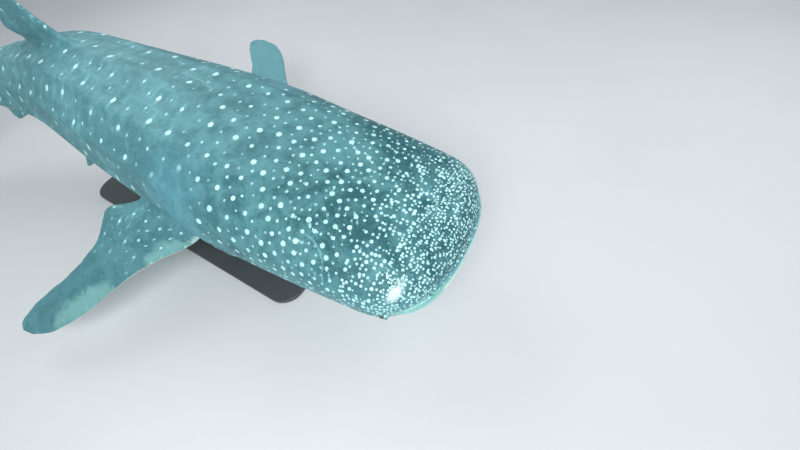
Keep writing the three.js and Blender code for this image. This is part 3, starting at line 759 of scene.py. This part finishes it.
def scatter_spots(facts):
    """Spot centres with a radius and a brightness, spaced for their place on the body."""
    points, s, angle = facts["points"], facts["s"], facts["angle"]
    side = np.abs(facts["left"])
    rng = random.Random(SPOT_SEED)
    on_fin = (facts["out"] > OFF_BODY) & (s > FINS_FROM)
    pectoral = on_fin & (s < PECTORAL_SPOTS["to"]) & (side > PECTORAL_SPOTS["beside"])
    allowed = on_fin | (angle < BELLY_LINE - BELLY_CLEARANCE)
    allowed &= ~(pectoral & (facts["normals"][:, 2] < 0)) & (s > SPOT_START)
    low_share = np.where(angle > LOW_SPOTS["angle"], LOW_SPOTS["share"], 1.0)
    share = np.where(on_fin, FIN_SPOT_SHARE, low_share)
    gaps = curve(SPOT_SIZES, 1)(s) * share
    radii = curve(SPOT_SIZES, 2)(s) * share
    outward = ease((side - PECTORAL_SPOTS["dim_from"]) / PECTORAL_SPOTS["dim_over"])
    brightness = 1 - PECTORAL_SPOTS["dimmed"] * outward * pectoral
    # On the trunk the spots keep rough rows; elsewhere they are scattered
    noise = np.array([rng.random() for _ in range(len(points))])
    off_row = np.abs((angle / ROW_ANGLE) % 1 - 0.5) * 2
    ranks = noise + ~on_fin * ROW_PULL * off_row * ease((s - 0.9) / 0.5)
    order = np.argsort(ranks).tolist()
    tree = tree_of(points)
    crowded = ~allowed
    taken = crowded.copy()
    spots = []
    for kind in (LARGE_SPOTS, SMALL_SPOTS):
        large = kind is LARGE_SPOTS
        barred = taken if large else crowded
        for i in order:
            if barred[i]:
                continue
            gap = gaps[i] * rng.uniform(*SPOT_GAPS)
            for _, j, distance in tree.find_range(points[i], gap * kind["space"]):
                taken[j] = True
                if not large or distance < gap * SMALL_BY_LARGE:
                    crowded[j] = True
            size = rng.uniform(*kind["size"])
            bright = rng.uniform(*kind["bright"])
            spots.append((points[i], radii[i] * size, bright * brightness[i]))
    return spots


def near_patch(facts, patch):
    """1 at the middle of an oval patch on the skin, falling to 0 at twice its size."""
    (s, degrees), (long, wide) = patch["middle"], patch["size"]
    reach = np.hypot((facts["s"] - s) / long, (facts["angle"] - degrees) / wide)
    return ease(1 - reach / 2) * (facts["out"] < 1.2)


def near_scars(facts):
    """1 on the scars' lines, falling to 0 beside them."""
    near = np.zeros(len(facts["s"]))
    for line in SCARS:
        path = np.array(line)
        steps = np.linspace(0, len(path) - 1, 60 * len(path))
        s, degrees = (np.interp(steps, np.arange(len(path)), path[:, k]) for k in (0, 1))
        left, up = skin_point(s, np.where(degrees < 0, 360 + degrees, degrees))
        tree = tree_of(place(s, left, up))
        close = np.flatnonzero((facts["s"] < s.max() + 0.05) & (facts["s"] > s.min() - 0.05))
        for i in close:
            distance = tree.find(facts["points"][i])[2]
            near[i] = max(near[i], 1 - distance / SCAR_WIDTH)
    return np.clip(near, 0, 1)


def near_fin_streaks(facts):
    """1 along the middle of each pale streak on top of the fin, falling to 0 round it."""
    reach = np.full(len(facts["s"]), 9.0)
    for streak in FIN_STREAKS:
        path = np.array(streak)
        for step in np.linspace(0, len(path) - 1, 24):
            s, left, wide = (np.interp(step, np.arange(len(path)), path[:, k]) for k in range(3))
            reach = np.minimum(reach, np.hypot(facts["s"] - s, facts["left"] - left) / wide)
    on_top = (facts["normals"][:, 2] > 0) & (facts["out"] > OFF_BODY)
    return np.clip(1 - reach / 1.6, 0, 1) * on_top


def nearest_spots(points, spots):
    """Per point: the offset and distance from its nearest spot in radii, and its brightness."""
    tree = tree_of([spot[0] for spot in spots])
    offset = np.zeros((len(points), 3))
    guard, light = np.zeros(len(points)), np.zeros(len(points))
    for i, point in enumerate(points):
        best = min(tree.find_n(point, 3), key=lambda found: found[2] / spots[found[1]][1])
        centre, radius, light[i] = spots[best[1]]
        offset[i] = (point - centre) / radius
        guard[i] = min(best[2] / radius, 3.0)
    return offset, guard, light


def spot_reach(facts, offset):
    """The offset from a spot along the body, round it and off the skin.

    On the trunk the spots are a little longer round it than along it.
    """
    s, normals = facts["s"], facts["normals"]
    yaw = yaw_at(s)
    back = np.stack([-np.cos(yaw), -np.sin(yaw), np.zeros(len(s))], axis=-1)
    back -= normals * (back * normals).sum(axis=1)[:, None]
    back /= np.maximum(np.linalg.norm(back, axis=1), 1e-6)[:, None]
    along, around, off = ((offset * axis).sum(axis=1) for axis in (back, np.cross(normals, back), normals))
    longer = ease((s - 0.9) / 0.8)
    return [along * (1 + 0.10 * longer), around * (1 - 0.06 * longer), off]


def belly_share(facts):
    """1 where the skin is as pale as the belly, 0 on the back."""
    s, out, side = facts["s"], facts["out"], np.abs(facts["left"])
    belly = ease((facts["angle"] - BELLY_LINE + BELLY_FADE / 2) / BELLY_FADE)
    paired = (out > OFF_BODY) & (s > FINS_FROM) & (s < PAIRED_FINS["to"])
    paired &= (side > PAIRED_FINS["beside"]) & (facts["up"] < PAIRED_FINS["below"])
    belly = np.where(paired, ease((0.15 - facts["normals"][:, 2]) / 0.5), belly)
    upright = (out > 1.4) & (side < UPRIGHT_FINS["beside"]) & (s > UPRIGHT_FINS["from"])
    upright |= (s > UPRIGHT_FINS["tail_from"]) & (out > 1.1)
    return np.where(upright, UPRIGHT_FINS["paleness"], belly)


def lip_share(facts):
    """1 on the lips, falling to 0 before the eyes."""
    s, off_level = facts["s"], np.abs(facts["up"] - MOUTH["level"])
    front = s - front_at(np.abs(facts["left"]))
    lip = ease(1 - (off_level - 0.026) / 0.016) * ease(1 - (front - 0.030) / 0.03)
    return lip * ease((0.185 - s) / 0.06)


def mark_skin(skin):
    """Writes the markings' facts on the skin's vertices, for its material to read."""
    facts = skin_facts(skin)
    s, angle, right = facts["s"], facts["angle"], facts["left"] < 0
    offset, guard, light = nearest_spots(facts["points"], scatter_spots(facts))
    fin = ease((facts["out"] - 1.15) / 0.5) * (s > FINS_FROM)
    eye_patch, dark_mark = (near_patch(facts, patch) * right for patch in (EYE_PATCH, DARK_MARK))
    columns = {
        "spot_reach": spot_reach(facts, offset),
        "spot_facts": [guard, light, belly_share(facts)],
        "body_place": [s, np.where(right, -angle, angle) / 100, fin],
        "plain_places": [near_patch(facts, GILL_SHADE_PATCH), eye_patch, lip_share(facts)],
        "scar_places": [near_scars(facts), dark_mark, near_fin_streaks(facts)],
    }
    for name, values in columns.items():
        attribute = skin.data.attributes.new(name, "FLOAT_VECTOR", "POINT")
        attribute.data.foreach_set("vector", np.stack(values, axis=-1).astype(np.float32).ravel())


# Materials


class Wire:
    """A shader socket that can be used in sums."""

    def __init__(self, finish, socket):
        self.finish = finish
        self.socket = socket

    def sum_with(self, operation, first, second):
        return self.finish.add("ShaderNodeMath", {"operation": operation}, {0: first, 1: second})

    def __add__(self, other):
        return self.sum_with("ADD", self, other)

    def __sub__(self, other):
        return self.sum_with("SUBTRACT", self, other)

    def __rsub__(self, other):
        return self.sum_with("SUBTRACT", other, self)

    def __mul__(self, other):
        return self.sum_with("MULTIPLY", self, other)

    def __truediv__(self, other):
        return self.sum_with("DIVIDE", self, other)

    __radd__ = __add__
    __rmul__ = __mul__


class Finish:
    """A material whose nodes are added one at a time."""

    def __init__(self, name, **values):
        self.material = bpy.data.materials.new(name)
        self.material.use_nodes = True
        self.tree = self.material.node_tree
        self.shader = self.tree.nodes["Principled BSDF"]
        self.wear(**values)

    def wear(self, **values):
        """Sets or links sockets of the shader; a space in a socket's name is written _."""
        for socket, value in values.items():
            self.feed(self.shader.inputs[socket.replace("_", " ")], value)

    def feed(self, socket, value):
        if isinstance(value, Wire):
            self.tree.links.new(value.socket, socket)
        else:
            socket.default_value = value

    def add(self, kind, settings=None, sockets=None, out=0):
        node = self.tree.nodes.new(kind)
        for name, value in (settings or {}).items():
            if name == "stops":
                self.set_stops(node.color_ramp, value)
            else:
                setattr(node, name, value)
        for key, value in (sockets or {}).items():
            self.feed(node.inputs[key], value)
        return Wire(self, node.outputs[out])

    @staticmethod
    def set_stops(ramp, stops):
        while len(ramp.elements) < len(stops):
            ramp.elements.new(0.5)
        for element, (position, colour) in zip(ramp.elements, stops):
            element.position = position
            element.color = (*colour, 1)

    def math(self, operation, *values):
        return self.add("ShaderNodeMath", {"operation": operation}, dict(enumerate(values)))

    def vertex(self, name):
        return self.add("ShaderNodeAttribute", {"attribute_name": name}, out="Vector")

    def parts(self, vector):
        node = self.add("ShaderNodeSeparateXYZ", None, {0: vector}).socket.node
        return [Wire(self, node.outputs[k]) for k in range(3)]

    def object_place(self, scale=(1, 1, 1)):
        place_wire = self.add("ShaderNodeTexCoord", out="Object")
        return self.add("ShaderNodeMapping", None, {"Vector": place_wire, "Scale": scale})

    def noise(self, scale, detail=3, rough=0.5, vector=None, distortion=0.0):
        sockets = {"Scale": scale, "Detail": detail, "Roughness": rough, "Distortion": distortion}
        sockets["Vector"] = vector or self.object_place()
        return self.add("ShaderNodeTexNoise", None, sockets)

    def between(self, value, low, high):
        """0 below low and 1 above high, or the other way round, with soft ends."""
        settings = {"interpolation_type": "SMOOTHSTEP"}
        if low < high:
            return self.add("ShaderNodeMapRange", settings, {0: value, 1: low, 2: high, 3: 0, 4: 1})
        return self.add("ShaderNodeMapRange", settings, {0: value, 1: high, 2: low, 3: 1, 4: 0})

    def dots(self, cell, radius, start, end):
        """Round dots at rough steps, each kept whole or left out by its place behind the snout."""
        sockets = {"Vector": self.object_place(), "Scale": 1 / cell, "Randomness": 0.68}
        distance = self.add("ShaderNodeTexVoronoi", None, sockets)
        outputs = distance.socket.node.outputs
        centre = self.parts(Wire(self, outputs["Position"]))[0]
        chance = self.parts(Wire(self, outputs["Color"]))[0]
        behind = SNOUT.x - centre + (chance - 0.5) * 0.06
        kept = self.math("GREATER_THAN", behind, start) * self.math("LESS_THAN", behind, end)
        size = radius / cell * (0.80 + chance * 0.35)
        dot = self.between(distance / size, 1.15, 0.75)
        return dot * kept * (0.74 + chance * 0.26)

    def mix(self, first, second, share):
        first, second = (v if isinstance(v, Wire) else (*v, 1) for v in (first, second))
        return self.add("ShaderNodeMix", {"data_type": "RGBA"}, {0: share, 6: first, 7: second}, out=2)

    def bump(self, height, distance, strength=1.0, under=None):
        sockets = {"Height": height, "Distance": distance, "Strength": strength}
        if under is not None:
            sockets["Normal"] = under
        return self.add("ShaderNodeBump", None, sockets)


def shade(red, green, blue):
    """A linear colour from the usual 0 to 255 screen values."""
    return tuple(
        v / 12.92 if v <= 0.04045 else ((v + 0.055) / 1.055) ** 2.4
        for v in (red / 255, green / 255, blue / 255)
    )


BACK_DARK = shade(38, 90, 97)
BACK_LIGHT = shade(84, 138, 144)
# A paler tone: a random mottle of the skin, painted light low on the head's sides, and painted haze
# towards the rear and on the left pectoral fin
PALE_TONE_AND_PAINTED_HAZE = shade(108, 168, 177)
SPOT_PALE = shade(194, 242, 242)
BELLY_PALE = shade(196, 226, 221)
BAR_PALE = shade(132, 196, 204)
SMEAR_PALE = shade(150, 218, 222)
FIN_PALE = shade(134, 188, 184)
# Bluish painted shade round the gill slits
GILL_SHADE_BLUE = shade(96, 160, 176)
# The lips' own paler tone, made paler still by painted light from below
LIP_PALE_AND_PAINTED_LIGHT = shade(150, 208, 202)
PATCH_PALE = shade(222, 246, 244)
SCAR_PALE = shade(136, 198, 198)
MARK_DARK = shade(70, 104, 116)
# Colours of the eye from the middle of its pupil, 0, to a quarter turn away, 1
EYE_RINGS = [
    (0.0, shade(6, 8, 9)), (0.34, shade(7, 10, 11)), (0.38, shade(92, 104, 98)),
    (0.60, shade(58, 72, 72)), (0.72, shade(26, 34, 36)), (0.80, shade(30, 42, 44)),
]


class SkinFinish(Finish):
    """The spotted skin, painted in coats from the facts on its vertices."""

    def __init__(self):
        super().__init__(
            "spotted_skin", Specular_IOR_Level=0.22, Coat_Weight=0.04, Coat_Roughness=0.35,
        )
        self.guard, self.light, self.belly = self.parts(self.vertex("spot_facts"))
        self.along, self.around, self.fin = self.parts(self.vertex("body_place"))
        self.gills, self.eye_patch, self.lip = self.parts(self.vertex("plain_places"))
        self.scar, self.mark, self.streak = self.parts(self.vertex("scar_places"))
        self.reach = self.vertex("spot_reach")
        self.broad = self.noise(2.3, 4, 0.55)
        self.middle = self.noise(11, 4, 0.6, distortion=0.6)
        self.fine = self.noise(75, 3, 0.6)
        self.rear = self.between(self.along, 1.0, 2.2)
        self.belly_edge = self.ragged(self.belly, 0.9)
        clouds = self.between(self.broad * 0.45 + self.middle * 0.55, 0.39, 0.62)
        self.base = self.mix(BACK_DARK, BACK_LIGHT, clouds)

    def coat(self, colour, share):
        self.base = self.mix(self.base, colour, share)

    def ragged(self, value, middle=0, fine=0):
        """A value that wanders with the noises, so that a line drawn by it is uneven."""
        for noise, amount in ((self.middle, middle), (self.fine, fine)):
            if amount:
                value = value + (noise - 0.5) * amount
        return value

    def paint_tone_and_painted_haze(self):
        """Painted haze, paler towards the rear and on the left pectoral fin, and painted shade on the
        right one; a paler random mottle; and paler low on the head's sides, partly the paler underside and
        partly painted light.
        """
        # Painted haze, a pale veil of light: paler towards the rear
        self.coat(PALE_TONE_AND_PAINTED_HAZE, self.rear * 0.20 + self.between(self.along, 0.6, 1.4) * 0.19)
        # A paler random mottle of the skin's own tone
        self.coat(PALE_TONE_AND_PAINTED_HAZE, self.between(self.fine, 0.46, 0.74) * 0.26)
        # Paler low on the head's sides: partly the paler underside, partly painted light on the sides
        low = self.between(self.math("ABSOLUTE", self.around), 0.40, 1.05)
        self.coat(PALE_TONE_AND_PAINTED_HAZE, low * self.between(self.along, 1.2, 0.5) * 0.62)
        # Painted shade darkens the right pectoral fin and painted haze pales the left one
        pectoral = self.fin * self.between(self.along, 2.8, 2.5)
        self.coat(BACK_DARK, pectoral * self.between(self.around, 0.0, -0.1) * 0.30)
        self.coat(PALE_TONE_AND_PAINTED_HAZE, pectoral * self.between(self.around, 0.0, 0.1) * 0.60)

    def paint_fin_streaks(self):
        streak = self.between(self.ragged(self.streak, 1.1, 0.4), 0.10, 0.85)
        self.coat(FIN_PALE, streak * self.between(self.streak, 0, 0.3) * 0.55)

    def paint_bars(self):
        """Faint pale bars across the trunk and lines along it."""
        waver = self.noise(3.2, 2, 0.5)
        column = self.math("SINE", (self.along + waver * 0.16) * 41.0)
        bars = self.between(column, 0.55, 0.98) * self.between(self.middle, 0.44, 0.66)
        row = self.math("SINE", (self.around + waver * 0.06) * 42.0)
        lines = self.between(row, 0.86, 1.0) * self.between(self.broad, 0.44, 0.60)
        self.coat(BAR_PALE, (bars * 0.24 + lines * 0.08) * (self.rear * (1 - self.fin)))

    def paint_smears(self):
        """Smears that run round the body from its spots."""
        back, around, _ = self.parts(self.reach)
        width = self.between(self.math("ABSOLUTE", self.ragged(back, 1.2, 0.6)), 1.35, 0.25)
        length = self.between(self.math("ABSOLUTE", self.ragged(around, 5)), 4.4, 0.8)
        smear = width * length * self.rear * self.between(self.broad, 0.47, 0.58)
        self.coat(SMEAR_PALE, smear * self.light * 0.50)

    def paint_patches(self):
        """The painted shade at the gills, the lips with their painted light, the pale patch, scars and
        dark mark, and the belly last.
        """
        # Painted shade round the gill slits
        self.coat(GILL_SHADE_BLUE, self.gills * 0.50)
        # Pale lips: their own paler tone, with painted light from below
        self.coat(LIP_PALE_AND_PAINTED_LIGHT, self.lip * 0.80)
        self.coat(PATCH_PALE, self.between(self.ragged(self.eye_patch, 1.0, 0.7), 0.40, 0.90) * 0.90)
        self.coat(SCAR_PALE, self.between(self.ragged(self.scar, fine=0.5), 0.30, 0.90) * 0.52)
        self.coat(MARK_DARK, self.between(self.ragged(self.mark, fine=0.4), 0.30, 0.75) * 0.8)
        self.coat(BELLY_PALE, self.between(self.belly_edge, 0.30, 0.72))

    def spots(self):
        """1 in a pale spot or dot, 0 between them and on the plain places."""
        distance = self.add("ShaderNodeVectorMath", {"operation": "LENGTH"}, {0: self.reach}, out="Value")
        uneven = distance + (self.noise(90, 2, 0.5) - 0.5) * 0.55
        spots = self.between(uneven, 1.20, 0.78) * self.between(self.guard, 1.62, 1.36) * self.light
        for dots in SNOUT_DOTS:
            spots = self.math("MAXIMUM", spots, self.dots(**dots))
        # Spots fade in the painted shade at the gills and partly on the lips
        plain = (1 - self.between(self.gills, 0.30, 0.62)) * (1 - self.lip * 0.7)
        return spots * (plain * self.between(self.belly_edge, 0.60, 0.35))


def skin_finish():
    finish = SkinFinish()
    finish.paint_tone_and_painted_haze()
    finish.paint_fin_streaks()
    finish.paint_bars()
    finish.paint_smears()
    finish.paint_patches()
    spots = finish.spots()
    folds = finish.bump(finish.middle, 0.006, 0.5)
    grit = finish.add("ShaderNodeTexVoronoi", None, {"Vector": finish.object_place(), "Scale": 330})
    finish.wear(
        Base_Color=finish.mix(finish.base, SPOT_PALE, spots),
        Roughness=0.58 - spots * 0.06 + (finish.fine - 0.5) * 0.18,
        Normal=finish.bump(grit, 0.0007, 0.6, folds),
    )
    return finish.material


def lining_finish():
    finish = Finish("mouth_lining", Roughness=0.6)
    patch = finish.noise(30, 3)
    finish.wear(
        Base_Color=finish.mix(shade(24, 34, 36), shade(58, 66, 66), patch),
        Normal=finish.bump(patch, 0.002, 0.6),
    )
    return finish.material


def eye_finish():
    """A dark pupil, a grey iris with fine rays, and dark round the edge."""
    finish = Finish("eye_surface", Roughness=0.09, Coat_Weight=1.0, Coat_Roughness=0.03)
    from_pupil = finish.add("ShaderNodeAttribute", {"attribute_name": "from_pupil"}, out="Fac")
    uneven = from_pupil + (finish.noise(420, 3, 0.7) - 0.5) * 0.05
    finish.wear(Base_Color=finish.add("ShaderNodeValToRGB", {"stops": EYE_RINGS}, {"Fac": uneven}))
    return finish.material


def plate_finish():
    finish = Finish("stand_paint")
    speckle = finish.noise(260, 2)
    paint = finish.mix(shade(58, 62, 66), shade(74, 79, 83), finish.noise(3, 3))
    flecks = finish.between(speckle, 0.62, 0.72) * 0.4
    finish.wear(
        Base_Color=finish.mix(paint, shade(96, 100, 104), flecks),
        Roughness=0.42 + (speckle - 0.5) * 0.2,
        Normal=finish.bump(speckle, 0.0003, 0.7),
    )
    return finish.material


def steel_finish():
    finish = Finish("stand_brushed_steel", Metallic=1.0)
    brushed = finish.noise(60, 4, 0.7, finish.object_place((1, 1, 18)))
    finish.wear(
        Base_Color=finish.mix(shade(176, 180, 183), shade(206, 209, 211), brushed),
        Roughness=0.24 + brushed * 0.16,
        Normal=finish.bump(brushed, 0.0002, 0.5),
    )
    return finish.material


def floor_finish():
    finish = Finish("pale_floor", Roughness=0.75)
    cloud = finish.noise(0.8, 3)
    finish.wear(Base_Color=finish.mix(shade(204, 207, 210), shade(214, 217, 219), cloud))
    return finish.material


# Pieces


def dress(piece, slot, *materials):
    piece.data.materials.clear()
    for material in materials:
        piece.data.materials.append(material)


def make_skin():
    skin = build_skin()
    mark_skin(skin)
    dress(skin, "skin", skin_finish(), lining_finish())
    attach(skin, "root")
    flesh = [
        "head", "gill_section", "trunk", "tail_stem", "first_dorsal_fin", "second_dorsal_fin",
        "anal_fin", "caudal_fin_upper_lobe", "caudal_fin_lower_lobe",
    ]
    flesh += [f"{fin}_fin_{side}" for fin in ("pectoral", "pelvic") for side in SIDES]
    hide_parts(*flesh)


def make_eye(name, side, material):
    """A ball with its pupil outwards, which writes on its vertices how far from it they are."""
    bm = bmesh.new()
    bmesh.ops.create_uvsphere(bm, u_segments=64, v_segments=48, radius=1)
    turn_shape(bm, Matrix.Rotation(-side * math.pi / 2, 3, "X"))
    away = [math.acos(max(-1, min(1, v.co.y * side))) / (math.pi / 2) for v in bm.verts]
    bmesh.ops.scale(bm, vec=(EYE["radius"] - EYE_BALL["inset"],) * 3, verts=bm.verts)
    bmesh.ops.translate(bm, vec=middle_of(f"eye_{name}"), verts=bm.verts)
    eye = piece_from(bm, f"eye_ball_{name}")
    attribute = eye.data.attributes.new("from_pupil", "FLOAT", "POINT")
    attribute.data.foreach_set("value", np.array(away, np.float32))
    dress(eye, "eye", material)
    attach(eye, "root")
    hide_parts(f"eye_{name}")


# Cap screws of a rod's collar: their circle's radius, and their middle over the rod's foot
SCREWS = {
    "count": 4, "radius": 0.0075, "height": 0.010, "rounding": 0.0012, "circle": 0.058, "level": 0.0192,
}


def make_screws(name, material):
    """Domed cap screws round a rod's collar."""
    low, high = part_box(f"stand_rod_{name}")
    middle = (low + high) / 2
    radius = SCREWS["radius"]
    bm = bmesh.new()
    for k in range(SCREWS["count"]):
        turn = math.pi / 4 + k * 2 * math.pi / SCREWS["count"]
        made = bmesh.ops.create_cone(
            bm, cap_ends=True, segments=24, radius1=radius, radius2=radius, depth=SCREWS["height"],
        )
        caps = [f for f in {f for v in made["verts"] for f in v.link_faces} if len(f.verts) > 4]
        edges = list({e for f in caps for e in f.edges})
        out = Vector((math.cos(turn), math.sin(turn), 0)) * SCREWS["circle"]
        foot = Vector((middle.x, middle.y, low.z + SCREWS["level"]))
        bmesh.ops.translate(bm, vec=foot + out, verts=made["verts"])
        bmesh.ops.bevel(
            bm, geom=edges, offset=SCREWS["rounding"], segments=2, profile=0.5,
            affect="EDGES", material=-1,
        )
    screws = piece_from(bm, f"stand_screws_{name}")
    dress(screws, "stand_steel", material)
    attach(screws, "root")


def finish_stand():
    plate, steel = plate_finish(), steel_finish()
    finishes = {"stand_base": plate, "stand_rod_front": steel, "stand_rod_rear": steel}
    for node, material in finishes.items():
        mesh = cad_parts[node].data
        mesh.materials.clear()
        mesh.materials.append(material)
    for name in ("front", "rear"):
        make_screws(name, steel)


# Studio

FLOOR_HALF_SIDE = 30
SKY = {"colour": (0.90, 0.95, 1.0, 1), "strength": 0.52}
# Lights aim at a point on the head this far behind the snout
LIGHT_AIM = 1.2
LIGHTS = {
    "key": {"from_snout": (0.8, -3.0, 3.8), "size": 3.0, "power": 210},
    "fill": {"from_snout": (2.4, 3.2, 3.0), "size": 4.0, "power": 75},
    "back": {"from_snout": (-5.0, 1.5, 4.0), "size": 4.0, "power": 95},
}


def make_floor():
    bm = bmesh.new()
    bmesh.ops.create_grid(bm, x_segments=1, y_segments=1, size=FLOOR_HALF_SIDE)
    floor = piece_from(bm, "floor")
    floor.data.materials.append(floor_finish())


def make_light(name, from_snout, size, power):
    lamp = bpy.data.lights.new(name, "AREA")
    lamp.shape = "DISK"
    lamp.size = size
    lamp.energy = power
    light = bpy.data.objects.new(name, lamp)
    light.location = SNOUT + Vector(from_snout)
    aim = SNOUT - Vector((LIGHT_AIM, 0, 0))
    light.rotation_euler = (aim - light.location).to_track_quat("-Z", "Y").to_euler()
    bpy.context.scene.collection.objects.link(light)


def make_studio():
    make_floor()
    world = bpy.data.worlds.new("studio")
    world.use_nodes = True
    background = world.node_tree.nodes["Background"]
    background.inputs["Color"].default_value = SKY["colour"]
    background.inputs["Strength"].default_value = SKY["strength"]
    bpy.context.scene.world = world
    bpy.context.scene.view_settings.view_transform = "Standard"
    for name, light in LIGHTS.items():
        make_light(name, **light)


# The camera stands above the animal's right, ahead of it, and looks down and back along it
CAMERA = {"from_snout": (0.25, -0.76, 1.40), "azimuth": 38.47, "elevation": 55.92, "roll": -10.51}
FOCAL_PIXELS = 337.3
PICTURE_WIDTH = 800
SENSOR = 36.0


def make_camera():
    data = bpy.data.cameras.new("camera")
    data.sensor_width = SENSOR
    data.lens = FOCAL_PIXELS * SENSOR / PICTURE_WIDTH
    data.clip_start = 0.02
    camera = bpy.data.objects.new("camera", data)
    azimuth, elevation, roll = (math.radians(CAMERA[k]) for k in ("azimuth", "elevation", "roll"))
    back = Vector((
        math.sin(azimuth) * math.cos(elevation),
        -math.cos(azimuth) * math.cos(elevation),
        math.sin(elevation),
    ))
    level = Vector((math.cos(azimuth), math.sin(azimuth), 0))
    upright = back.cross(level)
    right = level * math.cos(roll) + upright * math.sin(roll)
    up = upright * math.cos(roll) - level * math.sin(roll)
    turn = Matrix((right, up, back)).transposed().to_4x4()
    camera.matrix_world = Matrix.Translation(SNOUT + Vector(CAMERA["from_snout"])) @ turn
    bpy.context.scene.collection.objects.link(camera)
    bpy.context.scene.camera = camera


make_camera()
make_skin()
eye_material = eye_finish()
for eye_name, eye_side in SIDES.items():
    make_eye(eye_name, eye_side, eye_material)
finish_stand()
make_studio()
